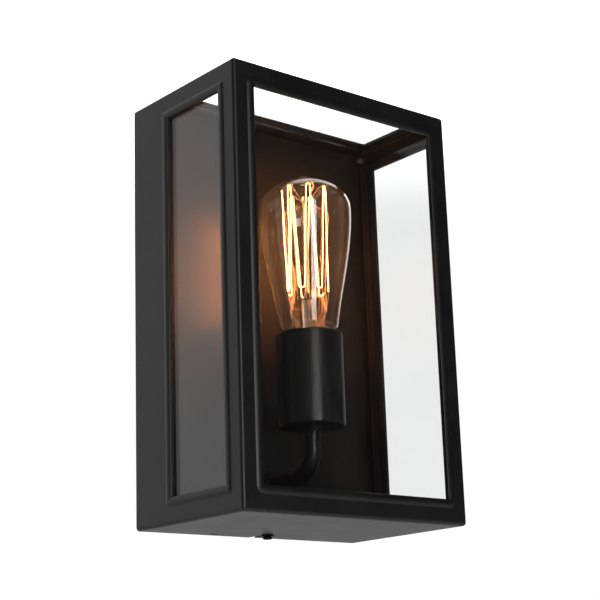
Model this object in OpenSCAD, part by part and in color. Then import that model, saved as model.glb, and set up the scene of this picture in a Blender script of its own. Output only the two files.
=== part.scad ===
// Outdoor wall lantern. A glazed steel cage slides forward off a back pan, which carries one
// screw-in filament lamp on a bent arm. A thumb screw under the bottom tray holds the cage.
//
// Millimetres, +Z up. The wall is the plane Y = 0 and the front of the lantern faces -Y.
// The origin is the centre of the face that lies on the wall.

/* [Cage] */
// Width across the flat sides
cage_w = 194; // [180:1:220]
// Height from the bottom tray to the flat top
cage_h = 300; // [290:1:340]
// Depth from the wall to the flat front
cage_d = 118; // [114:1:140]
// Thickness of the steel sheet
sheet = 1.2; // [1:0.1:1.5]
// Outer radius of the cage's edges
edge_r = 2.5; // [2:0.1:3]
// Gap between the wall and the cage's open rear edge
rear_gap = 0.5; // [0.3:0.1:2]

/* [Windows] */
// Front window: margin at the left and right
front_side_margin = 17; // [15:0.5:24]
// Front window: margin at the top
front_top_margin = 17; // [15:0.5:24]
// Front window: margin at the bottom
front_bottom_margin = 17.5; // [15:0.5:24]
// Side windows: margin at the front
side_front_margin = 17.5; // [15:0.5:24]
// Side windows: distance from the wall
side_rear_margin = 41.5; // [40:0.5:46]
// Side windows: margin at the top
side_top_margin = 19; // [17:0.5:24]
// Side windows: margin at the bottom
side_bottom_margin = 18; // [15:0.5:24]
// Top window: margin at the left and right
top_side_margin = 16.5; // [15:0.5:24]
// Top window: distance from the wall
top_rear_margin = 47; // [46:0.5:55]
// Width of the rounded rim around each window
rim_w = 6; // [5:0.5:8]
// Height of the rim above the sheet
rim_rise = 1; // [0.6:0.1:1.4]
// Depth of the rim's inner lip below the sheet's outer face
lip_depth = 1.8; // [1.6:0.1:5]

/* [Glazing] */
// Thickness of the glass panes
glass_t = 3; // [2:0.5:4]
// Thickness of the seal between lip and pane
seal_t = 0.4; // [0.4:0.1:1.5]
// Width of the seal
seal_w = 5; // [4:0.5:6]
// How far a pane reaches past its window
pane_lap = 7; // [5:0.5:8]

/* [Back pan] */
// Depth of the pan from the wall to its front face
pan_d = 24; // [22:1:26]
// Gap between the pan and the cage
pan_gap = 0.5; // [0.4:0.1:1]
// Thickness of the wall gasket
gasket_t = 1.5; // [1:0.5:2]
// Thickness of the wall plate
plate_t = 1.5; // [1.2:0.1:2]
// Distance between the wall screw slots along X
slot_pitch_x = 100; // [80:1:120]
// Distance between the wall screw slots along Z
slot_pitch_z = 180; // [160:1:200]
// Half the width of a wall screw slot
slot_r = 2.6; // [2.2:0.1:3]
// End-to-end length of a wall screw slot
slot_len = 20; // [14:1:24]
// Height of the cable entry above the centre
entry_z = 35; // [30:1:45]
// Radius of the cable entry's bore
entry_r = 4; // [3:0.5:5]

/* [Arm and lampholder] */
// Distance of the lamp's axis from the wall
lamp_y = 70; // [68:1:75]
// Height of the arm above the cage's bottom
arm_z = 34.3; // [30:0.1:40]
// Outer radius of the arm tube
arm_r = 5.5; // [5:0.5:6]
// Bore radius of the arm tube
arm_bore_r = 4.25; // [4:0.05:4.5]
// Bend radius of the arm's centre line
arm_bend_r = 20; // [16:1:26]
// Outer radius of the lampholder cup
cup_r = 23; // [22:0.5:26]
// Height of the cup's floor above the cage's bottom
cup_z = 67.5; // [60:0.5:72]
// Height of the cup
cup_h = 65; // [60:1:68]

/* [Lamp] */
// Height of the lamp's lower contact above the cage's bottom
contact_z = 105; // [103:1:108]
// Largest radius of the glass envelope
bulb_r = 32.6; // [30:0.1:33]
// Overall length from contact to tip
lamp_len = 144; // [138:1:150]
// Height of the pip on the tip of the envelope
pip_h = 3.5; // [2:0.5:5]
// Number of filament loops over the upper hooks
filament_loops = 7; // [6:1:12]
// Turn of the filament about the lamp's axis
filament_turn = 8; // [0:1:50]

/* [Thumb screw] */
// Distance of the thumb screw from the wall
thumb_y = 18.5; // [16:0.5:18.5]
// Radius of the knurled head
thumb_r = 3.3; // [3.3:0.1:4]
// Height of the knurled head
thumb_h = 2; // [1.8:0.1:6]

/* [Hidden] */

$fn = 48;

// Cut-through allowance for openings, and the play in a hole around its own screw or tube.
cut = 1;
play = 0.1;

half_w = cage_w / 2;
half_h = cage_h / 2;
inner_w = half_w - sheet;
inner_h = half_h - sheet;

front_open = [cage_w - 2 * front_side_margin, cage_h - front_top_margin - front_bottom_margin];
front_mid_z = (front_bottom_margin - front_top_margin) / 2;
side_open = [cage_d - side_front_margin - side_rear_margin,
             cage_h - side_top_margin - side_bottom_margin];
side_mid_y = -(cage_d - side_front_margin + side_rear_margin) / 2;
side_mid_z = (side_bottom_margin - side_top_margin) / 2;
top_open = [cage_w - 2 * top_side_margin, cage_d - side_front_margin - top_rear_margin];
top_mid_y = -(cage_d - side_front_margin + top_rear_margin) / 2;

// A pane's outer face lies this far below the sheet's outer face.
pane_depth = lip_depth + seal_t;
pane_corner_gap = 0.5;
side_pane_front = -(cage_d - pane_depth - glass_t - pane_corner_gap);
pane_rear_reach = 8.5;
side_pane_rear = pane_rear_reach - side_rear_margin;
side_pane_inner = half_w - pane_depth - glass_t;

pan_half_w = inner_w - pan_gap;
pan_half_h = inner_h - pan_gap;
pan_r = 2;
plate_y = -(gasket_t + plate_t);
plate_half_w = pan_half_w - sheet - play;
plate_half_h = pan_half_h - sheet - 2 * play;

drain_x = -39;
drain_y = -8.5;
drain_r = 2.75;

// M4 fixings: shank, thread bore and countersunk head.
m4_r = 2;
m4_bore_r = 2.06;
m4_head_r = 3.6;
m4_head_h = 1.6;
pan_screw_y = -10;
pan_screw_len = 8;
tab_hole_len = 12;
clinch_nut_r = 3.8;
shank_hole_r = 2.4;
tray_slot_r = 2.7;
tab_len = 14;
tab_half_h = 10;
nut_h = 4;

strip_t = 1.2;
strip_rear = 25;
strip_bend = 31;
strip_front = 38;
strip_half_h = 147;
stud_y = -28;
stud_z = 143;
stud_r = 1.5;
stud_len = 5.2;
stud_nut_r = 2.6;
stud_nut_h = 2.2;

arm_h = arm_z - half_h;
cup_floor = cup_z - half_h;
cup_top = cup_floor + cup_h;
arm_bend_y = -lamp_y + arm_bend_r;
arm_rear_y = -17;
collar_h = 3;
lock_nut_h = 3;
lock_nut_r = 8;
bracket_z = cup_floor + sheet + lock_nut_h;
holder_z = cup_floor + 10.5;
holder_r = 19;
holder_top = cup_top - 7;
holder_foot_chamfer = 2;
holder_rim_chamfer = 1;
socket_r = 14.1;
shell_t = 0.6;
shell_hole_r = 7;
contact_h = contact_z - half_h;
tongue_h = 4;
tongue_w = 6;
tongue_t = 0.6;
tongue_gap = 0.3;

escutcheon_r = 9;
escutcheon_top_r = 7.6;
escutcheon_foot = 1.6;
cup_collar_r = 6.8;
cup_edge_r = 1.5;
bracket_half_l = 16;
bracket_half_w = 6;

// Cable entry: holes in the gasket and the plate, and the grommet's steps.
gasket_hole_r = 9;
plate_hole_r = 8;
grommet_flange_r = 10;
grommet_flange_t = 2;
grommet_tip_r = 6;
grommet_tip_h = 3;

block_z = -60;
block_size = [30, 14, 20];
pole_pitch = 9;
pole_depth = 6;
pole_r = 1.8;
pole_bore_len = 12;
clamp_z = 6.5;
clamp_screw_r = 1.6;
clamp_screw_h = 4;
earth_x = 32;
earth_stud_len = 12;
earth_nut_r = 4;
earth_nut_h = 3.2;
earth_lug_t = 2.6;
lead_r = 1.1;
lead_x = 1.7;

cap_r = 13.2;
cap_base = 5;
cap_top = 27;
cap_t = 0.5;
cap_base_r = 12.1;
neck_r = 12.4;
envelope_wall = 0.9;
stem_r = 4.5;
rod_r = 1.6;
hook_low = 58;
hook_high = 134;
hook_low_r = 14.5;
hook_high_r = 16;
wire_r = 0.25;
pip_r = 2.9;
contact_r = 3.6;
contact_t = 1.6;

thumb_shank_top = -half_h + 9;
washer_gap = 0.25;
washer_t = 0.8;
washer_r = 4.4;
knurl_r = 0.35;
knurl_step = 22.5;
thumb_chamfer = 0.4;

steel_black = "#1c1c1d";
zinc = "silver";
brass = "#c9a24a";
rubber = "#222222";
clear = [0.8, 0.9, 0.95, 0.3];

// ---------------------------------------------------------------- helpers

// Flat rectangle with round corners.
module rounded_rect(w, h, r) {
    square([w - 2 * r, h], center = true);
    square([w, h - 2 * r], center = true);
    for (sx = [-1, 1], sy = [-1, 1])
        translate([sx * (w / 2 - r), sy * (h / 2 - r)]) circle(r);
}

// Box from the wall to depth d whose front and side edges are round.
module rounded_box(w, h, d, r) {
    intersection() {
        rotate([90, 0, 0]) linear_extrude(d) rounded_rect(w, h, r);
        translate([-w / 2, 0, 0]) rotate([90, 0, 90]) linear_extrude(w) rounded_rect(2 * d, h, r);
        translate([0, 0, -h / 2]) linear_extrude(h) rounded_rect(w, 2 * d, r);
    }
}

// Box between two corners.
module span(low, high) {
    translate(low) cube(high - low);
}

// Flat ring around an opening, from z = low to z = high.
module ring_plate(open, w, low, high) {
    translate([0, 0, low]) linear_extrude(high - low) difference() {
        square([open.x + 2 * w, open.y + 2 * w], center = true);
        square(open, center = true);
    }
}

// One straight run of a window rim: a low round ridge with mitred ends.
module rim_run(half_open, length) {
    r = (pow(rim_w / 2, 2) + pow(rim_rise, 2)) / (2 * rim_rise);
    intersection() {
        translate([half_open + rim_w / 2, length / 2 + rim_w + cut, rim_rise - r])
            rotate([90, 0, 0]) cylinder(r = r, h = length + 2 * (rim_w + cut), $fn = 96);
        translate([0, 0, -sheet / 2]) linear_extrude(sheet + rim_rise) polygon([
            [half_open, -length / 2], [half_open + rim_w, -length / 2 - rim_w],
            [half_open + rim_w, length / 2 + rim_w], [half_open, length / 2]]);
    }
}

// Rim and inner lip of a window, with the sheet's outer face at z = 0.
module window_rim(open) {
    for (a = [0, 180]) {
        rotate(a) rim_run(open.x / 2, open.y);
        rotate(a + 90) rim_run(open.y / 2, open.x);
    }
    ring_plate(open, sheet, -lip_depth, 0);
}

// Places for a front, right-hand or top window: z points out of the cage.
module at_front() {
    translate([0, -cage_d, front_mid_z]) rotate([90, 0, 0]) children();
}
module at_right() {
    translate([half_w, side_mid_y, side_mid_z]) rotate([90, 0, 90]) children();
}
module at_top() {
    translate([0, top_mid_y, half_h]) children();
}
module cage_body() {
    rounded_box(cage_w, cage_h, cage_d, edge_r);
}

// Opening through the sheet.
module window_cut(open) {
    translate([0, 0, -2 * sheet]) linear_extrude(3 * sheet) square(open, center = true);
}

// Seal between the lip and the pane.
module window_seal(open) {
    behind = [open.x + 2 * sheet, open.y + 2 * sheet];
    color(rubber) {
        ring_plate(open, seal_w, -pane_depth, -lip_depth);
        ring_plate(behind, seal_w - sheet, -lip_depth, -sheet);
    }
}

// Hexagonal nut along +Z with a round bore.
module hex_nut(r, bore, h) {
    difference() {
        cylinder(r = r, h = h, $fn = 6);
        translate([0, 0, -cut]) cylinder(r = bore, h = h + 2 * cut);
    }
}

// Round tube along +Z.
module tube(r, bore, h) {
    difference() {
        cylinder(r = r, h = h);
        translate([0, 0, -cut]) cylinder(r = bore, h = h + 2 * cut);
    }
}

// Slot along X, through in Z.
module slot(length, r, h) {
    translate([0, 0, -h / 2]) linear_extrude(h) {
        square([length - 2 * r, 2 * r], center = true);
        for (s = [-1, 1]) translate([s * (length / 2 - r), 0]) circle(r);
    }
}

// Round wire swept along a path of points.
function unit(v) = v / norm(v);
function tangents(p) = [for (i = [0 : len(p) - 1])
    unit(p[min(i + 1, len(p) - 1)] - p[max(i - 1, 0)])];
function carried(t, i, n) = i == len(t) ? [] :
    let (m = unit(n - (n * t[i]) * t[i])) concat([m], carried(t, i + 1, m));
module wire(path, r, sides = 8) {
    t = tangents(path);
    n = carried(t, 0, abs(t[0].x) < 0.7 ? [1, 0, 0] : [0, 1, 0]);
    last = len(path) - 1;
    polyhedron(
        points = [for (i = [0 : last], k = [0 : sides - 1]) let (a = 360 * k / sides)
            path[i] + r * (cos(a) * n[i] + sin(a) * cross(t[i], n[i]))],
        faces = concat(
            [[for (k = [0 : sides - 1]) k]],
            [for (i = [0 : last - 1], k = [0 : sides - 1]) let (m = (k + 1) % sides)
                [i * sides + k, (i + 1) * sides + k, (i + 1) * sides + m, i * sides + m]],
            [[for (k = [sides - 1 : -1 : 0]) last * sides + k]]));
}

function reversed(list) = [for (i = [len(list) - 1 : -1 : 0]) list[i]];

// Cubic curve from a to d with handles b and c, in n steps.
function curve(a, b, c, d, n) = [for (i = [0 : n]) let (s = i / n, q = 1 - s)
    q * q * q * a + 3 * q * q * s * b + 3 * q * s * s * c + s * s * s * d];

// ---------------------------------------------------------------- back pan and wall fixing

module fixing_slots(r, length, low, high) {
    for (sx = [-1, 1], sz = [-1, 1])
        translate([sx * slot_pitch_x / 2, (low + high) / 2, sz * slot_pitch_z / 2])
            rotate([90, 0, 0]) slot(length, r, high - low + 2 * cut);
}

module wall_gasket() {
    color(rubber) difference() {
        rotate([90, 0, 0]) linear_extrude(gasket_t)
            rounded_rect(2 * pan_half_w, 2 * pan_half_h, pan_r);
        fixing_slots(slot_r, slot_len, -gasket_t, 0);
        translate([0, cut, entry_z]) rotate([90, 0, 0])
            cylinder(r = gasket_hole_r, h = gasket_t + 2 * cut);
    }
}

module wall_plate() {
    color(zinc) difference() {
        span([-plate_half_w, plate_y, -plate_half_h], [plate_half_w, -gasket_t, plate_half_h]);
        fixing_slots(slot_r, slot_len, plate_y, -gasket_t);
        translate([0, 0, entry_z]) rotate([90, 0, 0])
            cylinder(r = plate_hole_r, h = pan_d, center = true);
    }
}

// Ears welded to the plate's long edges, which the pan screws enter.
module plate_tabs() {
    color(zinc) for (s = [0, 1]) mirror([s, 0, 0]) difference() {
        span([plate_half_w - plate_t, plate_y - tab_len, -tab_half_h],
             [plate_half_w, plate_y, tab_half_h]);
        pan_screw_hole();
    }
}

// Countersunk hole for the right-hand pan screw.
module pan_screw_hole() {
    translate([pan_half_w, pan_screw_y, 0]) rotate([0, -90, 0]) {
        translate([0, 0, -play])
            cylinder(r1 = m4_head_r + 2 * play, r2 = m4_r + play, h = m4_head_h + play);
        cylinder(r = m4_r + play, h = tab_hole_len);
    }
}

module back_pan() {
    color(steel_black) difference() {
        rounded_box(2 * pan_half_w, 2 * pan_half_h, pan_d, pan_r);
        span([sheet - pan_half_w, sheet - pan_d, sheet - pan_half_h],
             [pan_half_w - sheet, cut, pan_half_h - sheet]);
        span([-cage_w, -gasket_t, -cage_h], [cage_w, cut, cage_h]);
        translate([0, -pan_d + 2 * cut, arm_h]) rotate([90, 0, 0])
            cylinder(r = arm_r + play, h = 3 * cut);
        translate([0, -thumb_y, -pan_half_h - cut]) cylinder(r = shank_hole_r, h = 3 * cut);
        translate([drain_x, drain_y, -pan_half_h - cut]) cylinder(r = drain_r, h = 3 * cut);
        for (s = [0, 1]) mirror([s, 0, 0]) pan_screw_hole();
    }
}

// Cross-shaped recess for a screwdriver, cut into a head that starts at z = 0.
module cross_recess(reach, half_t, depth) {
    for (a = [0, 90]) rotate(a)
        span([-reach, -half_t, -cut], [reach, half_t, depth]);
}

module pan_screws() {
    color(zinc) for (s = [0, 1]) mirror([s, 0, 0])
        translate([pan_half_w, pan_screw_y, 0]) rotate([0, -90, 0]) {
            difference() {
                cylinder(r1 = m4_head_r, r2 = m4_r, h = m4_head_h);
                cross_recess(m4_r, 0.4, m4_head_h / 2);
            }
            translate([0, 0, m4_head_h]) cylinder(r = m4_r, h = pan_screw_len);
        }
}

module pan_nuts() {
    color(zinc) for (s = [0, 1]) mirror([s, 0, 0])
        translate([plate_half_w - plate_t, pan_screw_y, 0]) rotate([0, -90, 0])
            tube(m4_head_r + 0.4, m4_bore_r, nut_h);
}

module clinch_nut() {
    color(zinc) translate([0, -thumb_y, sheet - pan_half_h]) tube(clinch_nut_r, m4_bore_r, nut_h);
}

module cable_grommet() {
    color(rubber) translate([0, -gasket_t, entry_z]) rotate([90, 0, 0]) difference() {
        union() {
            cylinder(r = plate_hole_r - play, h = plate_t);
            translate([0, 0, plate_t]) cylinder(r = grommet_flange_r, h = grommet_flange_t);
            translate([0, 0, plate_t + grommet_flange_t])
                cylinder(r1 = plate_hole_r, r2 = grommet_tip_r, h = grommet_tip_h);
            translate([0, 0, play - gasket_t])
                cylinder(r = gasket_hole_r - 2 * play, h = gasket_t - play);
        }
        translate([0, 0, -2 * cut])
            cylinder(r = entry_r, h = plate_t + grommet_flange_t + grommet_tip_h + 4 * cut);
    }
}

// ---------------------------------------------------------------- wiring

module at_block() {
    translate([0, plate_y, block_z]) children();
}

module terminal_block() {
    color("#e6e2d6") at_block() difference() {
        translate([-block_size.x / 2, -block_size.y, -block_size.z / 2]) cube(block_size);
        for (i = [-1 : 1], s = [-1, 1]) translate([i * pole_pitch, -pole_depth, 0]) {
            translate([0, 0, s * block_size.z / 2])
                cylinder(r = pole_r, h = pole_bore_len, center = true);
            translate([0, 0, s * clamp_z]) rotate([90, 0, 0]) cylinder(r = pole_r, h = pole_bore_len);
        }
    }
}

module terminal_screws() {
    color(brass) at_block() for (i = [-1 : 1], s = [-1, 1])
        translate([i * pole_pitch, -pole_depth - 2.5, s * clamp_z]) rotate([90, 0, 0]) difference() {
            cylinder(r = clamp_screw_r, h = clamp_screw_h);
            span([-pole_r, -0.3, clamp_screw_h - 0.8], [pole_r, 0.3, clamp_screw_h + cut]);
        }
}

module earth_stud() {
    color(zinc) translate([earth_x, plate_y, block_z]) rotate([90, 0, 0])
        cylinder(r = m4_r, h = earth_stud_len);
}

module earth_nut() {
    color(brass) translate([earth_x, plate_y - earth_lug_t - 0.9, block_z]) rotate([90, 0, 0])
        hex_nut(earth_nut_r, m4_r + play, earth_nut_h);
}

// From the block's middle pole to a ring under the earth nut.
module earth_wire() {
    z_out = block_z - block_size.z / 2;
    color("#9fbf3a") {
        wire(curve([0, plate_y - pole_depth, z_out + 4], [0, plate_y - 1.2, z_out - 22],
                   [earth_x, plate_y - 1.8, z_out - 12], [earth_x, plate_y - 1.8, block_z - 3.4], 24),
             lead_r);
        translate([earth_x, plate_y - 0.4, block_z]) rotate([90, 0, 0])
            tube(earth_nut_r, m4_r + play, earth_lug_t);
    }
}

// Route of one lead: out of the block, through the arm and up to the lampholder.
function lead_path(x, pole) = concat(
    curve([pole, plate_y - pole_depth, block_z - 6], [pole, plate_y - pole_depth, block_z - 34],
          [x, -12, arm_h + 24], [x, -12, arm_h + 8], 12),
    curve([x, -12, arm_h + 6], [x, -12, arm_h + 2], [x, -15, arm_h], [x, -18, arm_h], 6),
    [for (a = [0 : 9 : 90])
        [x, arm_bend_y - arm_bend_r * sin(a), arm_h + arm_bend_r * (1 - cos(a))]],
    [[x, -lamp_y, cup_floor], [x, -lamp_y, holder_z - play]]);

module live_lead() {
    color("#7a4a2a") wire(lead_path(-lead_x, -pole_pitch), lead_r);
}

module neutral_lead() {
    color("#2f5f9f") wire(lead_path(lead_x, pole_pitch), lead_r);
}

// ---------------------------------------------------------------- arm and lampholder

module arm_tube() {
    color(steel_black) {
        translate([0, arm_rear_y, arm_h]) rotate([90, 0, 0])
            tube(arm_r, arm_bore_r, arm_rear_y - arm_bend_y);
        translate([0, arm_bend_y, arm_h + arm_bend_r]) rotate([0, 90, 0]) rotate([0, 0, 180])
            rotate_extrude(angle = -90) translate([-arm_bend_r, 0]) difference() {
                circle(arm_r);
                circle(arm_bore_r);
            }
        translate([0, -lamp_y, arm_h + arm_bend_r])
            tube(arm_r, arm_bore_r, bracket_z + sheet - arm_h - arm_bend_r);
    }
}

module arm_collar() {
    color(steel_black) translate([0, -pan_d, arm_h]) rotate([90, 0, 0]) difference() {
        union() {
            cylinder(r = escutcheon_r, h = escutcheon_foot);
            translate([0, 0, escutcheon_foot])
                cylinder(r1 = escutcheon_r, r2 = escutcheon_top_r, h = collar_h - escutcheon_foot);
        }
        translate([0, 0, -cut]) cylinder(r = arm_r + play, h = collar_h + 2 * cut);
    }
}

module arm_nut() {
    color(zinc) translate([0, sheet - pan_d, arm_h]) rotate([-90, 0, 0])
        hex_nut(lock_nut_r, arm_r + play, lock_nut_h);
}

module cup_collar() {
    color(steel_black) translate([0, -lamp_y, cup_floor - collar_h])
        tube(cup_collar_r, arm_r + play, collar_h);
}

module lampholder_cup() {
    color(steel_black) translate([0, -lamp_y, cup_floor]) rotate_extrude() polygon(concat(
        [[arm_r + play, 0]],
        [for (a = [-90 : 15 : 0])
            [cup_r - cup_edge_r + cup_edge_r * cos(a), cup_edge_r + cup_edge_r * sin(a)]],
        [[cup_r, cup_h], [cup_r - sheet, cup_h], [cup_r - sheet, sheet], [arm_r + play, sheet]]));
}

module cup_nut() {
    color(zinc) translate([0, -lamp_y, cup_floor + sheet])
        hex_nut(lock_nut_r, arm_r + play, lock_nut_h);
}

module holder_bracket() {
    color(zinc) translate([0, -lamp_y, bracket_z]) difference() {
        union() {
            span([-bracket_half_l, -bracket_half_w, 0], [bracket_half_l, bracket_half_w, sheet]);
            for (s = [0, 1]) mirror([s, 0, 0])
                span([bracket_half_l - sheet, -bracket_half_w, 0],
                     [bracket_half_l, bracket_half_w, holder_z - bracket_z]);
        }
        translate([0, 0, -cut]) cylinder(r = arm_r + play, h = 3 * cut);
    }
}

// Porcelain body around the threaded shell.
module holder_body() {
    color("ivory") translate([0, -lamp_y, 0]) rotate_extrude() polygon([
        [0, holder_z], [holder_r - holder_foot_chamfer, holder_z],
        [holder_r, holder_z + holder_foot_chamfer], [holder_r, holder_top - holder_rim_chamfer],
        [holder_r - holder_rim_chamfer, holder_top], [socket_r, holder_top],
        [socket_r, contact_h - tongue_h], [0, contact_h - tongue_h]]);
}

module threaded_shell() {
    color(brass) translate([0, -lamp_y, contact_h - tongue_h]) difference() {
        cylinder(r = socket_r - 0.02, h = holder_top - contact_h + tongue_h / 2);
        translate([0, 0, shell_t]) cylinder(r = socket_r - shell_t, h = cup_h);
        translate([0, 0, -cut]) cylinder(r = shell_hole_r, h = 3 * cut);
    }
}

module contact_tongue() {
    half = tongue_w / 2;
    top = tongue_h - tongue_gap;
    color(brass) translate([0, -lamp_y, contact_h - tongue_h]) {
        span([-half, -5, 0], [half, 5.5, tongue_t]);
        span([-half, -5, 0], [half, tongue_t - 5, top]);
        span([-half, -5, top - tongue_t], [half, 4, top]);
    }
}

// ---------------------------------------------------------------- cage

module front_frame() {
    color(steel_black) {
        difference() {
            intersection() {
                cage_body();
                span([-cage_w, -cage_d - cut, -cage_h], [cage_w, sheet - cage_d, cage_h]);
            }
            at_front() window_cut(front_open);
        }
        at_front() window_rim(front_open);
    }
}

module side_frame() {
    color(steel_black) {
        difference() {
            intersection() {
                cage_body();
                span([inner_w, sheet - cage_d, -cage_h], [cage_w, -rear_gap, cage_h]);
            }
            at_right() window_cut(side_open);
        }
        at_right() window_rim(side_open);
    }
}

module right_frame() {
    side_frame();
}

module left_frame() {
    mirror([1, 0, 0]) side_frame();
}

module top_frame() {
    color(steel_black) {
        difference() {
            intersection() {
                cage_body();
                span([-inner_w, sheet - cage_d, inner_h], [inner_w, -rear_gap, cage_h]);
            }
            at_top() window_cut(top_open);
        }
        at_top() window_rim(top_open);
    }
}

// Slot and drain hole let the tray slide forward off the thumb screw and the pan.
module bottom_tray() {
    color(steel_black) difference() {
        intersection() {
            cage_body();
            span([-inner_w, sheet - cage_d, -cage_h], [inner_w, -rear_gap, -inner_h]);
        }
        translate([0, -thumb_y, -half_h - cut]) cylinder(r = tray_slot_r, h = 4 * cut);
        span([-tray_slot_r, -thumb_y, -half_h - cut], [tray_slot_r, cut, 3 * cut - half_h]);
        translate([drain_x, drain_y, -half_h - cut]) cylinder(r = drain_r, h = 4 * cut);
    }
}

module front_glass() {
    color(clear) translate([0, pane_depth - cage_d, front_mid_z]) rotate([90, 0, 0])
        translate([0, 0, -glass_t]) linear_extrude(glass_t)
            square([front_open.x + 2 * pane_lap, front_open.y + 2 * pane_lap], center = true);
}

module side_glass() {
    color(clear) span(
        [side_pane_inner, side_pane_front, side_mid_z - side_open.y / 2 - pane_lap],
        [side_pane_inner + glass_t, side_pane_rear, side_mid_z + side_open.y / 2 + pane_lap]);
}

module right_glass() {
    side_glass();
}

module left_glass() {
    mirror([1, 0, 0]) side_glass();
}

module top_glass() {
    color(clear) translate([0, top_mid_y, half_h - pane_depth - glass_t]) linear_extrude(glass_t)
        square([top_open.x + 2 * pane_lap, top_open.y + 2 * pane_lap], center = true);
}

module front_seal() {
    at_front() window_seal(front_open);
}

module right_seal() {
    at_right() window_seal(side_open);
}

module left_seal() {
    mirror([1, 0, 0]) right_seal();
}

module top_seal() {
    at_top() window_seal(top_open);
}

// Folded strip that presses the rear edge of a side pane against its seal.
module side_retainer() {
    color(steel_black) difference() {
        union() {
            span([inner_w - strip_t, -strip_bend - strip_t, -strip_half_h],
                 [inner_w, -strip_rear, strip_half_h]);
            span([side_pane_inner - strip_t, -strip_bend - strip_t, -strip_half_h],
                 [inner_w, -strip_bend, strip_half_h]);
            span([side_pane_inner - strip_t, -strip_front, -strip_half_h],
                 [side_pane_inner, -strip_bend, strip_half_h]);
        }
        for (s = [-1, 1]) translate([inner_w - 5, stud_y, s * stud_z]) rotate([0, 90, 0])
            cylinder(r = stud_r + play, h = 10);
        // The strip's flange stops below the top pane.
        span([side_pane_inner - 5, -strip_front - cut, half_h - pane_depth - glass_t - cut],
             [inner_w - strip_t, -strip_bend + cut, half_h]);
    }
}

module right_retainer() {
    side_retainer();
}

module left_retainer() {
    mirror([1, 0, 0]) side_retainer();
}

module retainer_studs() {
    color(zinc) for (sx = [0, 1], sz = [-1, 1]) mirror([sx, 0, 0])
        translate([inner_w - stud_len, stud_y, sz * stud_z]) rotate([0, 90, 0])
            cylinder(r = stud_r, h = stud_len);
}

module retainer_nuts() {
    color(zinc) for (sx = [0, 1], sz = [-1, 1]) mirror([sx, 0, 0])
        translate([inner_w - strip_t, stud_y, sz * stud_z]) rotate([0, -90, 0])
            hex_nut(stud_nut_r, stud_r + play, stud_nut_h);
}

// ---------------------------------------------------------------- thumb screw

module thumb_washer() {
    color(steel_black) translate([0, -thumb_y, -half_h - washer_gap - washer_t])
        tube(washer_r, m4_r + play, washer_t);
}

module thumb_screw() {
    head_top = -half_h - washer_gap - washer_t - play;
    color(steel_black) translate([0, -thumb_y, head_top - thumb_h]) difference() {
        union() {
            cylinder(r1 = thumb_r - thumb_chamfer, r2 = thumb_r, h = thumb_chamfer);
            translate([0, 0, thumb_chamfer]) cylinder(r = thumb_r, h = thumb_h - thumb_chamfer);
            cylinder(r = m4_r, h = thumb_shank_top - head_top + thumb_h);
        }
        for (a = [0 : knurl_step : 360 - knurl_step]) rotate(a)
            translate([thumb_r + play, 0, -cut]) cylinder(r = knurl_r, h = thumb_h + cut);
    }
}

// ---------------------------------------------------------------- lamp, z = 0 at its contact

module at_lamp() {
    translate([0, -lamp_y, contact_h]) children();
}

module lamp_contact() {
    color(zinc) at_lamp() cylinder(r1 = contact_r - 1, r2 = contact_r, h = contact_t);
}

module lamp_insulator() {
    color("#17171a") at_lamp() rotate_extrude() polygon([
        [contact_r + 0.2, 1], [8, 1.4], [cap_base_r - play, cap_base - 0.2],
        [cap_base_r - play, cap_base + 1], [0, cap_base + 1],
        [0, contact_t + 0.2], [contact_r + 0.2, contact_t + 0.2]]);
}

module lamp_cap() {
    color(brass) at_lamp() rotate_extrude() polygon([
        [cap_base_r, cap_base], [cap_r, cap_base + 1], [cap_r, cap_top], [cap_r - cap_t, cap_top],
        [cap_r - cap_t, cap_base + 1.4], [cap_base_r, cap_base + 1]]);
}

// Outline of the envelope at a distance inside its outer surface.
function bulb_outline(inset) = let (r = bulb_r - inset, top = lamp_len - pip_h - inset) concat(
    [[neck_r - inset, cap_base + 6]],
    curve([neck_r - inset, cap_top - 0.5], [neck_r - inset, 31], [17.5 - inset, 28.5],
          [20.2 - inset, 32], 6),
    curve([20.7 - inset, 34], [24 - inset, 60], [r, 88], [r, 116], 16),
    curve([r, 117], [r, 131], [19, top], [inset > 0 ? 0 : 3.4, top], 16));

module lamp_envelope() {
    color(clear) at_lamp() rotate_extrude() polygon(concat(
        bulb_outline(0),
        [[pip_r, lamp_len - 2], [pip_r - 0.9, lamp_len - 0.5], [0, lamp_len]],
        reversed(bulb_outline(envelope_wall))));
}

// Flared glass stem and the rod that carries the upper supports.
module lamp_stem() {
    flare_r = neck_r - envelope_wall - 0.05;
    color(clear) at_lamp() rotate_extrude() polygon(concat(
        [[0, cap_base + 7], [flare_r, cap_base + 7], [flare_r, cap_base + 8]],
        curve([flare_r, cap_base + 8], [6, cap_base + 12], [stem_r, 24], [stem_r, 32], 8),
        [[stem_r, hook_low - 6], [3, hook_low - 2], [rod_r, hook_low + 2],
         [rod_r, hook_high - 10], [2.6, hook_high - 9], [2.6, hook_high - 6],
         [0, hook_high - 4]]));
}

// Hooks stand on two rings; an upper hook lies halfway between its lower neighbours.
function hook(i, high) = let (a = filament_turn + 180 * (2 * i + (high ? 1 : 0)) / filament_loops)
    [(high ? hook_high_r : hook_low_r) * cos(a), (high ? hook_high_r : hook_low_r) * sin(a),
     high ? hook_high : hook_low];

// A wire that leaves the stem's wall at height z and rises to a lower hook.
function strut(i, z, r) = let (end = hook(i, false), u = end / norm([end.x, end.y]))
    curve([(stem_r + r + 0.1) * u.x, (stem_r + r + 0.1) * u.y, z],
          [(stem_r + 6) * u.x, (stem_r + 6) * u.y, z + 4],
          [end.x * 0.96, end.y * 0.96, hook_low - 14], end - [0, 0, 0.8], 8);

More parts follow.
